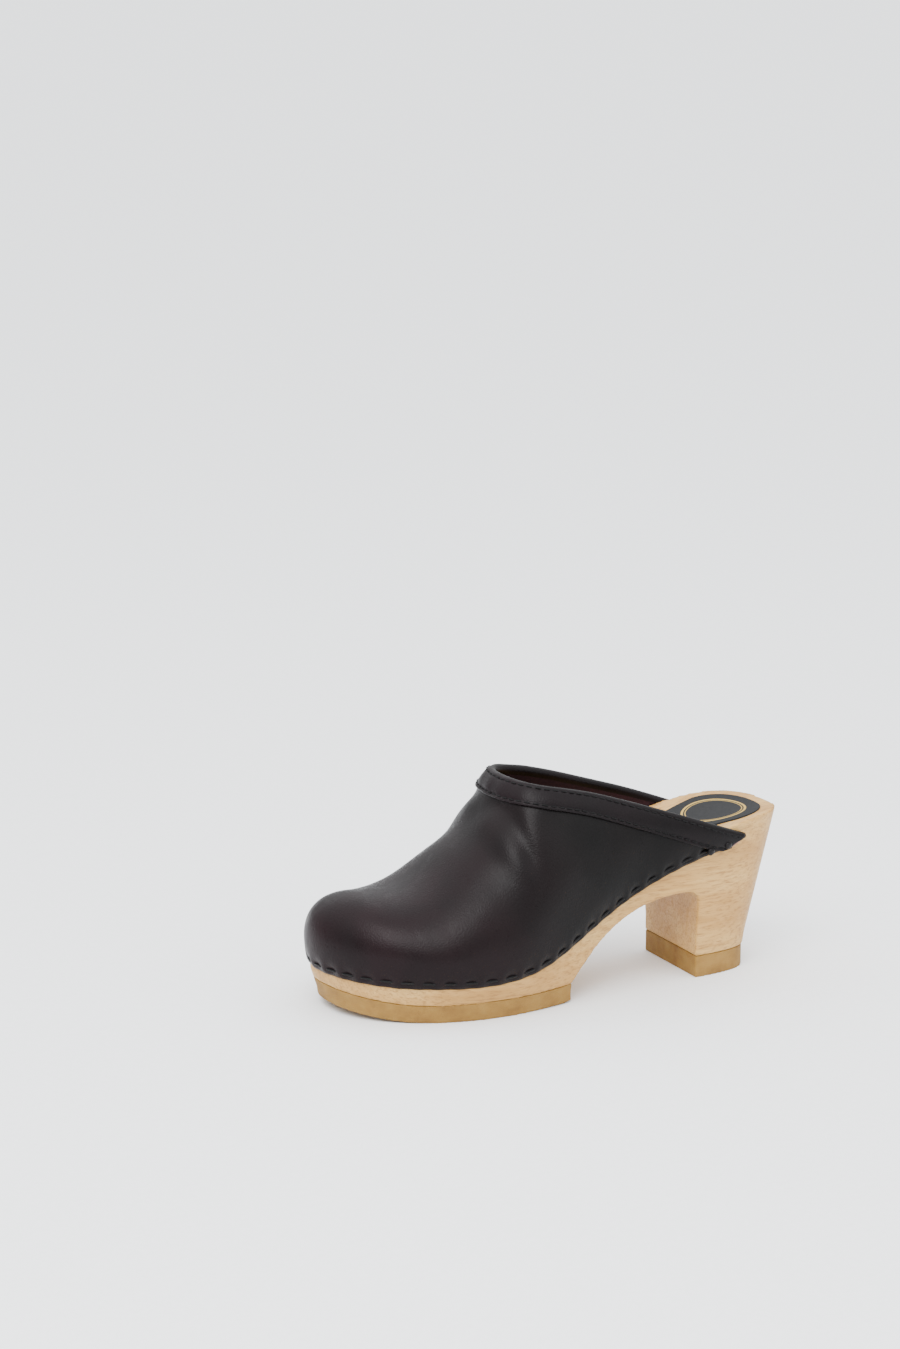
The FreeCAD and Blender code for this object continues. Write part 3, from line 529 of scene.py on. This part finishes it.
def collar_trim():
    """The folded band: a U-shaped profile of distance below the collar and height over the skin, along the
    collar. Also gives each face's finish: 0 dyed, 1 suede lining, 2 raw cut end."""
    round_top = np.linspace(np.pi / 2, -np.pi / 2, 13)
    radius, mid = (LEATHER + 2 * TRIM) / 2, -LEATHER / 2
    top = np.stack([radius - radius * np.cos(round_top), mid + radius * np.sin(round_top)], 1)
    low = TRIM_WIDTH
    # the low edge, a swell, the groove of the low stitches, the flat, and the groove of the high stitches
    outside = [(low - 0.1, 0.02), (low + 0.15, 0.9), (low - 0.1, 1.45), (low - 0.6, 1.62), (low - 1.2, 1.4),
               (low - 1.6, 1.12), (low - 2.2, 1.3), (low - 3.4, 1.55), (low - 5.5, 1.62), (4.4, 1.55),
               (3.4, 1.42), (2.8, 1.18)]
    # down the lining, round its low edge, and back up against the upper
    inside = [(4.0, -3.5), (7.0, -3.5), (10.0, -3.5), (12.2, -3.45), (12.6, -2.9), (12.2, -2.3), (8.0, -2.3),
              (2.4, -2.3), (1.5, -1.1), (2.4, 0.02), (7.0, 0.02)]
    profile = np.array(outside + top.tolist() + inside)
    depth, height = profile.T
    up = lengths(SKIN, 1)
    total = up[:, -1:]
    edge_clear, lining_least, end_clear, top_normal = 0.6, 2.6, 0.5, 1.5
    lining_most = np.maximum(total - RABBET - edge_clear, lining_least)
    deep = np.minimum(depth, np.where(height < mid - 0.1, lining_most, total - end_clear))
    point = mix_rows(SKIN, up, total - deep)
    away = mix_rows(NORMAL, up, total - np.maximum(deep, top_normal))
    away /= np.linalg.norm(away, axis=-1)[..., None]
    wave = 0.12 * np.sin(np.arange(RIBS) * 0.21)[:, None] * (height > 0.5)
    columns = np.arange((RIBS - 1) * len(profile)) % len(profile)
    lined = (columns >= len(outside) + len(top)) & (columns < len(profile) - 2)
    points, faces = tube_block(point + away * (height + wave)[..., None])
    return points, faces, np.r_[np.where(lined, 1, 0), 2, 2]


def stitch_row(distance, height):
    """Thread stitches: short round threads lying along the trim, each an arc that dips at its ends."""
    half, rise, sunk, radius = 1.5, 0.34, 0.1, 0.36
    line, out = band_line(SKIN, NORMAL, distance, from_collar=True)
    point, along, away, _ = spaced(line, out, STITCH_PITCH, STITCH_CLEAR)
    turn = np.linspace(-np.pi / 2, np.pi / 2, 7)
    path = np.stack([half * np.sin(turn), 0 * turn, rise * np.cos(turn) - sunk], 1)
    template, faces = rounded_tube(path, radius)
    return many(template, faces, point + away * height, along, away)


def staple_wire(points, along, away):
    """Wire staples: a straight crown with turned-down ends, carried along a short path."""
    half, corner, leg, sunk, radius = 3.0, 0.5, 2.2, 0.25, 0.55
    bend = np.linspace(0, np.pi / 2, 4)
    right = np.stack([half - corner + corner * np.sin(bend), 0 * bend, corner * np.cos(bend) - corner], 1)
    path = np.vstack([[[-half, 0, -leg]], right[::-1] * [-1, 1, 1], right, [[half, 0, -leg]]])
    template, faces = rounded_tube(path, radius)
    return many(template, faces, points - away * sunk, along, away)


def dome(radius, height, rings=7, sides=20):
    """A domed nail head: a full-shouldered ellipse turned about Z, closed by a flat disc sunk below."""
    sunk, pole, shoulder = 0.6, 0.02, 0.8
    climb = np.linspace(0, np.pi / 2, rings)
    r = np.r_[pole, radius * 0.96, radius * np.cos(climb) ** shoulder]
    z = np.r_[-sunk, -sunk, height * np.sin(climb)]
    r[-1] = pole
    turn = np.linspace(0, 2 * np.pi, sides, endpoint=False)
    ring = np.stack([np.outer(r, np.cos(turn)), np.outer(r, np.sin(turn)), np.outer(z, np.ones(sides))], -1)
    return ring.reshape(-1, 3), grid_faces(len(r), sides, wrap_columns=True)


# ------------------------------------------------------------------ materials

RAMP, MIX, MATH, BUMP = "ShaderNodeValToRGB", "ShaderNodeMix", "ShaderNodeMath", "ShaderNodeBump"
RGBA, ADD, TIMES = {"data_type": "RGBA"}, {"operation": "ADD"}, {"operation": "MULTIPLY"}
TIMES_ADD = {"operation": "MULTIPLY_ADD"}


def colour(text):
    """A linear colour from an sRGB hex text."""
    parts = [int(text[k:k + 2], 16) / 255 for k in (1, 3, 5)]
    return tuple(c / 12.92 if c <= 0.04045 else ((c + 0.055) / 1.055) ** 2.4 for c in parts) + (1.0,)


def node(tree, kind, settings=None, stops=(), **inputs):
    """Add a node with its properties, its ramp's (position, hex) stops and its inputs, set or linked by name
    (underscores for spaces) or by place (i0, i1 and so on)."""
    made = tree.nodes.new(kind)
    for key, value in (settings or {}).items():
        setattr(made, key, value)
    if stops:
        elements = made.color_ramp.elements
        while len(elements) < len(stops):
            elements.new(0.5)
        for element, (position, text) in zip(elements, stops):
            element.position = position
            element.color = colour(text)
    for key, value in inputs.items():
        socket = made.inputs[int(key[1:])] if key[1:].isdigit() else made.inputs[key.replace("_", " ")]
        if isinstance(value, bpy.types.NodeSocket):
            tree.links.new(value, socket)
        else:
            socket.default_value = value
    return made


def begun(name):
    """A new material with no nodes but its object coordinates: returns it, its tree and the coordinates."""
    material = bpy.data.materials.new(name)
    material.use_nodes = True
    tree = material.node_tree
    tree.nodes.clear()
    return material, tree, node(tree, "ShaderNodeTexCoord").outputs["Object"]


def surfaced(material, **shader):
    """Finish a material with one principled shader that has these inputs."""
    surface = node(material.node_tree, "ShaderNodeBsdfPrincipled", **shader)
    node(material.node_tree, "ShaderNodeOutputMaterial", Surface=surface.outputs[0])
    return material


def grain(tree, where, size, stretch=(1, 1, 1), detail=3.0, rough=0.55, twist=0.0):
    """A cloudy pattern with features about size millimetres wide, longer along an axis stretched above 1."""
    scaled = node(tree, "ShaderNodeMapping", i0=where, i3=tuple(1 / (MM * size * k) for k in stretch))
    return node(tree, "ShaderNodeTexNoise", i0=scaled.outputs[0], Scale=1.0, Detail=detail, Roughness=rough,
                Distortion=twist).outputs[0]


def wood_material():
    """Lime wood, sanded and waxed: pale straw, with darker dashes of grain along the shoe and a few brown
    specks. The dashes are drawn coarser than lime's real pores, so that they show."""
    material, tree, where = begun("sanded waxed lime wood")
    broad = grain(tree, where, size=22, stretch=(4, 1, 1))
    bands = grain(tree, where, size=2.6, stretch=(18, 1, 1), detail=4, rough=0.65, twist=0.3)
    dashes = grain(tree, where, size=1.0, stretch=(9, 1, 1), rough=0.65)
    specks = grain(tree, where, size=4.5, stretch=(3, 1, 1), detail=1)
    straw = [(0.3, "#ab8042"), (0.5, "#bd9353"), (0.72, "#cba565")]
    tone = node(tree, RAMP, stops=straw, i0=broad).outputs[0]
    for pattern, stops, shade in ((bands, [(0.42, "#000000"), (0.64, "#b4b4b4")], "#a17437"),
                                  (dashes, [(0.50, "#000000"), (0.64, "#c8c8c8")], "#845a2c"),
                                  (specks, [(0.79, "#000000"), (0.83, "#c0c0c0")], "#6a4826")):
        share = node(tree, RAMP, stops=stops, i0=pattern).outputs[0]
        tone = node(tree, MIX, RGBA, i0=share, i6=tone, i7=colour(shade)).outputs[2]
    gloss = node(tree, RAMP, stops=[(0.3, "#a8a8a8"), (0.7, "#c4c4c4")], i0=bands).outputs[0]
    raised = node(tree, MATH, ADD, i0=dashes, i1=bands).outputs[0]
    bump = node(tree, BUMP, Height=raised, Distance=0.10 * MM, Strength=0.5).outputs[0]
    return surfaced(material, Base_Color=tone, Roughness=gloss, Normal=bump, IOR=1.5, Specular_IOR_Level=0.35)


def leather_material(name, dark, light, red, gloss):
    """Smooth dyed cowhide: near black, redder towards the toe, with a tight pebble grain and a low shine."""
    material, tree, where = begun(name)
    clouds = grain(tree, where, size=34, detail=2)
    fine = grain(tree, where, size=0.6, rough=0.7)
    creases = grain(tree, where, size=6.0, stretch=(1, 1, 2.2), detail=4, rough=0.6, twist=0.6)
    pebble_size = 0.8 * MM
    cells = node(tree, "ShaderNodeMapping", i0=where, i3=(1 / pebble_size,) * 3).outputs[0]
    pebble = node(tree, "ShaderNodeTexVoronoi", {"feature": "SMOOTH_F1"}, i0=cells, Scale=1.0,
                  Smoothness=0.45).outputs[0]
    along = node(tree, "ShaderNodeSeparateXYZ", i0=where).outputs["X"]
    toward_toe = node(tree, "ShaderNodeMapRange", Value=along, From_Min=(TIP_X + 20) * MM,
                      From_Max=(TIP_X + 120) * MM, To_Min=0.7, To_Max=0.0).outputs[0]
    reddened = node(tree, MATH, TIMES, i0=toward_toe, i1=clouds).outputs[0]
    dyed = node(tree, RAMP, stops=[(0.36, dark), (0.62, light)], i0=clouds).outputs[0]
    tone = node(tree, MIX, RGBA, i0=reddened, i6=dyed, i7=colour(red)).outputs[2]
    rubbed = node(tree, RAMP, stops=[(0.35, "#000000"), (0.8, "#595959")], i0=fine).outputs[0]
    tone = node(tree, MIX, RGBA, i0=rubbed, i6=tone, i7=colour(light)).outputs[2]
    mottle = node(tree, MATH, ADD, i0=fine, i1=creases).outputs[0]
    shine = node(tree, RAMP, stops=gloss, i0=mottle).outputs[0]
    raised = node(tree, MATH, TIMES_ADD, i0=fine, i1=0.7, i2=pebble).outputs[0]
    raised = node(tree, MATH, TIMES_ADD, i0=creases, i1=1.2, i2=raised).outputs[0]
    bump = node(tree, BUMP, Height=raised, Distance=0.13 * MM, Strength=0.6).outputs[0]
    return surfaced(material, Base_Color=tone, Roughness=shine, Normal=bump, IOR=1.5,
                    Specular_IOR_Level=0.10, Coat_Weight=0.02, Coat_Roughness=0.3)


def rubber_material():
    """Natural crepe rubber, sawn and buffed: tan, finely gritty and darker in patches."""
    material, tree, where = begun("buffed gum rubber")
    patches = grain(tree, where, size=9, stretch=(1.5, 1, 1), detail=4, rough=0.6)
    grit = grain(tree, where, size=0.7, rough=0.7)
    tan = [(0.3, "#775419"), (0.5, "#876424"), (0.75, "#967333")]
    tone = node(tree, RAMP, stops=tan, i0=patches).outputs[0]
    pits = node(tree, RAMP, stops=[(0.3, "#6e6e6e"), (0.62, "#000000")], i0=grit).outputs[0]
    tone = node(tree, MIX, RGBA, i0=pits, i6=tone, i7=colour("#7a5626")).outputs[2]
    raised = node(tree, MATH, ADD, i0=grit, i1=patches).outputs[0]
    bump = node(tree, BUMP, Height=raised, Distance=0.35 * MM, Strength=0.8).outputs[0]
    return surfaced(material, Base_Color=tone, Normal=bump, Roughness=0.75, IOR=1.52)


def plain_material(name, shade, other, size, roughness, metallic=0.0):
    """A finish with a faint variation of colour and a fine bump of its pattern's size."""
    material, tree, where = begun(name)
    pattern = grain(tree, where, size, rough=0.6)
    tone = node(tree, RAMP, stops=[(0.35, shade), (0.7, other)], i0=pattern).outputs[0]
    bump = node(tree, BUMP, Height=pattern, Distance=0.05 * MM, Strength=0.6).outputs[0]
    return surfaced(material, Base_Color=tone, Normal=bump, Roughness=roughness, Metallic=metallic,
                    Specular_IOR_Level=0.2)


def label_material():
    """Coated paper, printed: a charcoal ground with a double gold ring, and no lettering."""
    material, tree, where = begun("printed coated label")
    to_ring = tuple(-v for v in to_metres([RING_X, LABEL_Y, 0]))
    centred = node(tree, "ShaderNodeMapping", i0=where, i1=to_ring).outputs[0]
    to_unit = (1 / RING_LONG / MM, 1 / RING_WIDE / MM, 0)
    round_spot = node(tree, "ShaderNodeMapping", i0=centred, i3=to_unit).outputs[0]
    away = node(tree, "ShaderNodeVectorMath", {"operation": "LENGTH"}, i0=round_spot).outputs["Value"]
    lines = [(0.0, "#000000"), (0.835, "#000000"), (0.845, "#ffffff"), (0.865, "#ffffff"), (0.875, "#000000"),
             (0.91, "#000000"), (0.925, "#ffffff"), (0.98, "#ffffff"), (0.995, "#000000")]
    ring = node(tree, RAMP, stops=lines, i0=away).outputs[0]
    coating = grain(tree, where, size=1.6)
    ground = node(tree, RAMP, stops=[(0.3, "#19191a"), (0.7, "#212122")], i0=coating).outputs[0]
    tone = node(tree, MIX, RGBA, i0=ring, i6=ground, i7=colour("#ad8f4d")).outputs[2]
    bump = node(tree, BUMP, Height=coating, Distance=0.04 * MM, Strength=0.5).outputs[0]
    return surfaced(material, Base_Color=tone, Normal=bump, Roughness=0.6, IOR=1.48, Specular_IOR_Level=0.12)


def paper_material():
    """Matt white studio paper: almost even."""
    material, tree, where = begun("matt studio paper")
    fibres = grain(tree, where, size=4)
    tone = node(tree, RAMP, stops=[(0.3, "#f3f4f5"), (0.7, "#f6f7f8")], i0=fibres).outputs[0]
    return surfaced(material, Base_Color=tone, Roughness=0.9)


MATERIALS = {
    "wood": wood_material(),
    "leather": leather_material("smooth dyed cowhide", "#080707", "#0c0909", "#220e14",
                                [(0.6, "#747474"), (1.0, "#a8a8a8")]),
    # the same hide, a little redder and duller where it is folded
    "trim": leather_material("folded trim leather", "#0a0708", "#100a0c", "#200f15",
                             [(0.6, "#7a7a7a"), (1.0, "#acacac")]),
    # the hide's flesh side: matt, deep red-brown
    "suede": plain_material("burgundy suede lining", "#1e0c10", "#2a1418", size=1.0, roughness=0.9),
    # undyed fibres at the band's cut ends: dull pink
    "raw": plain_material("raw cut leather edge", "#8a6058", "#a3786c", size=0.8, roughness=0.85),
    "rubber": rubber_material(),
    # needle-felt cellulose board, pressed hard: matt brown
    "board": plain_material("pressed cellulose board", "#3b2b22", "#4c392c", size=1.5, roughness=0.85),
    # annealed wire with a black oxide: dull, only partly metallic
    "wire": plain_material("black oxide wire", "#080808", "#131213", size=0.8, roughness=0.5, metallic=0.35),
    # tack heads under a thick dark varnish: smooth, with a small shine
    "nail": plain_material("japanned tack head", "#0a090a", "#161314", size=1.2, roughness=0.35,
                           metallic=0.3),
    # waxed black thread: matt, a touch darker than the leather
    "thread": plain_material("waxed black thread", "#050505", "#0c0b0c", size=0.4, roughness=0.8),
    # bright drawn steel, slightly worn: grey and shiny
    "steel": plain_material("drawn steel nail", "#8e8f90", "#b3b4b4", size=0.9, roughness=0.35, metallic=1.0),
    "label": label_material(),
}


# ------------------------------------------------------------------ pieces

def shown(obj, slot, *nodes):
    """A new piece: it rides on the shoe and stands for its CAD nodes, which are hidden. The slot is not used.
    """
    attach(obj, "root")
    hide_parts(*nodes)
    return obj


def settled(obj):
    """Apply the modifiers and give back the finished mesh."""
    final = bpy.data.meshes.new_from_object(obj.evaluated_get(bpy.context.evaluated_depsgraph_get()))
    obj.modifiers.clear()
    obj.data = final
    return final


def dressed(name, slot, key, node_name, voxel, rounds, above):
    """A merged copy of a CAD node with its edges rounded: a skin of voxels so many millimetres wide over the
    solid, smoothed for so many rounds above a height."""
    source = bpy.data.objects[node_name]
    obj = bpy.data.objects.new(name, source.data.copy())
    obj.matrix_world = source.matrix_world
    obj.parent = None
    bpy.context.scene.collection.objects.link(obj)
    bpy.context.view_layer.update()
    place = source.matrix_world.copy()
    obj.matrix_world.identity()
    obj.data.transform(place)
    work = bmesh.new()
    work.from_mesh(obj.data)
    bmesh.ops.remove_doubles(work, verts=work.verts, dist=MERGE)
    work.to_mesh(obj.data)
    work.free()
    skin = obj.modifiers.new("skin", "REMESH")
    skin.mode, skin.voxel_size = "VOXEL", voxel * MM
    final = settled(obj)
    top = obj.vertex_groups.new(name="rounded")
    high = [v.index for v in final.vertices if v.co.z > above * MM]
    top.add(high, 1.0, "REPLACE")
    soften = obj.modifiers.new("soften", "SMOOTH")
    soften.iterations, soften.factor, soften.vertex_group = rounds, 0.5, "rounded"
    final = settled(obj)
    final.materials.clear()
    final.materials.append(MATERIALS[key])
    final.polygons.foreach_set("use_smooth", np.ones(len(final.polygons), bool))
    return shown(obj, slot, node_name)


WOOD_OUTER, WOOD_INNER = halves(PLAN)


def footbed(x, y):
    """Height of the wood's dished top: the rim's height, lower towards the middle by a parabola."""
    inside = np.clip(x, 6, LENGTH - 8)
    outer, inner = WOOD_OUTER(inside), WOOD_INNER(inside)
    share = (y - (outer + inner) / 2) / ((inner - outer) / 2)
    return rim(x) + DISH * (np.minimum(share**2, 2) - 1)


def heel_label():
    """The label's outline, round at the back and narrowing forward, filled by rings towards its middle."""
    wide = SEAT_HALF - LABEL_MARGIN
    centre = LENGTH - LABEL_MARGIN - wide
    front = LENGTH - LABEL_MARGIN - LABEL_LONG
    arc = np.linspace(-np.pi / 2, np.pi / 2, 60)
    back = np.stack([centre + wide * np.cos(arc), wide * np.sin(arc) + LABEL_Y], 1)
    side = [(centre, wide), ((centre + front) / 2, (wide + LABEL_NECK) / 2),
            (front + LABEL_NECK * 0.35, LABEL_NECK * 0.86), (front, 0)]
    inner = through([0, 1, 2, 3], side, np.linspace(0, 3, 50)[1:]) + [0, LABEL_Y]
    outer = (inner[:-1] * [1, -1] + [0, 2 * LABEL_Y])[::-1]
    outline = np.vstack([back, inner, outer])
    # rings from below the wood, up the label's edge, over its rounded rim and in to the middle
    rings, thick, edge_high, sunk, rim_share = 24, 0.8, 0.55, 0.5, 0.985
    middle = np.array([centre - 8, LABEL_Y])
    shares = np.r_[1.0, 1.0, rim_share, np.linspace(0.96, 0.0, rings)]
    heights = np.r_[-sunk, edge_high, thick, np.full(rings, thick)]
    ring = middle + (outline - middle) * shares[:, None, None]
    z = footbed(ring[..., 0], ring[..., 1]) + heights[:, None]
    grid = np.concatenate([ring, z[..., None]], -1)
    faces = grid_faces(len(shares), len(outline), wrap_columns=True).tolist()
    faces.append(list(range(len(outline))))
    return grid.reshape(-1, 3), faces


def nail_places(line, out):
    """Places, directions and outward normals of the trim's nails, at both ends of the staples' line."""
    rows = []
    for ahead in NAILS_AHEAD:
        for side in (-1, 1):
            miss = np.where(np.sign(line[:, 1]) == side, np.abs(line[:, 0] - (COLLAR_END - ahead)), np.inf)
            rows.append(int(np.argmin(miss)))
    away = out[rows]
    along = np.gradient(line, axis=0)[rows]
    along -= away * np.sum(along * away, axis=1)[:, None]
    along /= np.linalg.norm(along, axis=1)[:, None]
    return line[rows], along, away


points, faces = leather_upper()
shown(mesh("upper_skin", points, faces, [MATERIALS["leather"]]), "dark_leather", "leather_upper")

points, faces, finish = collar_trim()
finishes = [MATERIALS[key] for key in ("trim", "suede", "raw")]
shown(mesh("folded_collar_trim", points, faces, finishes, finish), "trim_leather", "collar_trim")

for name, distance, height in (("trim_thread_low_row", TRIM_WIDTH - 1.6, 1.2),
                               ("trim_thread_high_row", 2.7, 1.25)):
    points, faces = stitch_row(distance, height)
    shown(mesh(name.replace("_", "."), points, faces, [MATERIALS["thread"]]), "black_thread", name)

line, out = band_line(SKIN, NORMAL, STAPLE_RISE)
spots, along, away, _ = spaced(line, out, STAPLE_PITCH, STAPLE_CLEAR)
toe = spots[:, 0] < TOE_REACH
for name, chosen in (("staples_toe", toe), ("staples_outer_side", ~toe & (spots[:, 1] < 0)),
                     ("staples_inner_side", ~toe & (spots[:, 1] > 0))):
    points, faces = staple_wire(spots[chosen], along[chosen], away[chosen])
    shown(mesh(name.replace("_", "."), points, faces, [MATERIALS["wire"]]), "black_wire", name)

nail_radius, nail_height, nail_lift = 2.0, 1.0, 0.4
spots, along, away = nail_places(line, out)
template, template_faces = dome(nail_radius, nail_height)
points, faces = many(template, template_faces, spots + away * (TRIM + nail_lift), along, away)
shown(mesh("trim_nail_heads", points, faces, [MATERIALS["nail"]]), "black_nail", "trim_nails")

points, faces = heel_label()
shown(mesh("printed_heel_label", points, faces, [MATERIALS["label"]]), "label_leather", "heel_label")

dressed("sanded_sole_block", "pale_wood", "wood", "wood_sole", voxel=0.9, rounds=5, above=24)
dressed("forefoot_rubber", "gum_rubber", "rubber", "rubber_outsole", voxel=0.6, rounds=1, above=0)
dressed("heel_rubber", "gum_rubber", "rubber", "heel_lift", voxel=0.6, rounds=1, above=0)

for node_name, key in (("toe_stiffener", "board"), ("heel_lift_nails", "steel"), ("outsole_tacks", "steel")):
    obj = bpy.data.objects[node_name]
    obj.data.materials.clear()
    obj.data.materials.append(MATERIALS[key])


# ------------------------------------------------------------------ floor, light and camera

FLOOR_REACH = 30.0                   # half the floor's width, in metres, so that its edge is out of sight
corner = np.array([-1, 1]) * FLOOR_REACH
data = bpy.data.meshes.new("studio_floor")
data.from_pydata([(x, y, 0) for y in corner for x in corner], [], [(0, 1, 3, 2)])
data.materials.append(paper_material())
floor = bpy.data.objects.new("studio_floor", data)
bpy.context.scene.collection.objects.link(floor)

# a pale room, brighter overhead than at the horizon
HORIZON_GLOW, ROOF_GLOW, ROOF_FROM = 0.55, 3.2, 0.75
world = bpy.data.worlds.new("studio")
world.use_nodes = True
sky = world.node_tree
facing = node(sky, "ShaderNodeTexCoord").outputs["Generated"]
height = node(sky, "ShaderNodeSeparateXYZ", i0=facing).outputs["Z"]
glow = node(sky, "ShaderNodeMapRange", Value=height, From_Min=0.0, From_Max=ROOF_FROM, To_Min=HORIZON_GLOW,
            To_Max=ROOF_GLOW).outputs[0]
sky.nodes["Background"].inputs[0].default_value = colour("#f4f6f8")
sky.links.new(glow, sky.nodes["Background"].inputs[1])
bpy.context.scene.world = world


def area_light(name, place, target, size, power):
    """A soft square light aimed at a point."""
    lamp = bpy.data.lights.new(name, "AREA")
    lamp.size, lamp.energy = size, power
    obj = bpy.data.objects.new(name, lamp)
    obj.location = place
    aim = np.array(target) - np.array(place)
    flat = math.hypot(aim[0], aim[1])
    obj.rotation_euler = (math.atan2(flat, -aim[2]), 0, math.atan2(aim[1], aim[0]) - math.pi / 2)
    bpy.context.scene.collection.objects.link(obj)


SHOE_MIDDLE = (0, 0, 0.04)
area_light("key softbox", (-0.9, -0.9, 1.5), SHOE_MIDDLE, size=1.3, power=40)
area_light("fill softbox", (1.3, -1.6, 0.9), SHOE_MIDDLE, size=1.4, power=7)

# fitted to the shoe's outline: the camera's direction and distance, in metres, from a point in the shoe
AIM = (120, 0, 30)
AZIMUTH, RISE = math.radians(-27), math.radians(16.5)
DISTANCE = 1.735
SENSOR = 36
FOCAL_SHARE = 2.59451                # focal length over the picture's long side
ASIDE, BELOW = 0.027286, 0.071143    # where the aim point lies from the picture's middle, over focal length

spread = math.sqrt(1 + ASIDE**2 + BELOW**2)
pitch = math.asin(spread * math.sin(RISE) / math.sqrt(1 + BELOW**2)) - math.atan(BELOW)
turn = AZIMUTH + math.atan(ASIDE / (math.cos(pitch) - BELOW * math.sin(pitch)))
aim = to_metres(AIM)
level = math.cos(RISE)
toward = np.array([math.sin(AZIMUTH) * level, -math.cos(AZIMUTH) * level, math.sin(RISE)])
lens = bpy.data.cameras.new("camera")
lens.sensor_width = lens.sensor_height = SENSOR
lens.sensor_fit = "VERTICAL"
lens.lens = SENSOR * FOCAL_SHARE
camera = bpy.data.objects.new("camera", lens)
camera.location = aim + toward * DISTANCE
camera.rotation_euler = (math.pi / 2 - pitch, 0, turn)
bpy.context.scene.collection.objects.link(camera)
bpy.context.scene.camera = camera
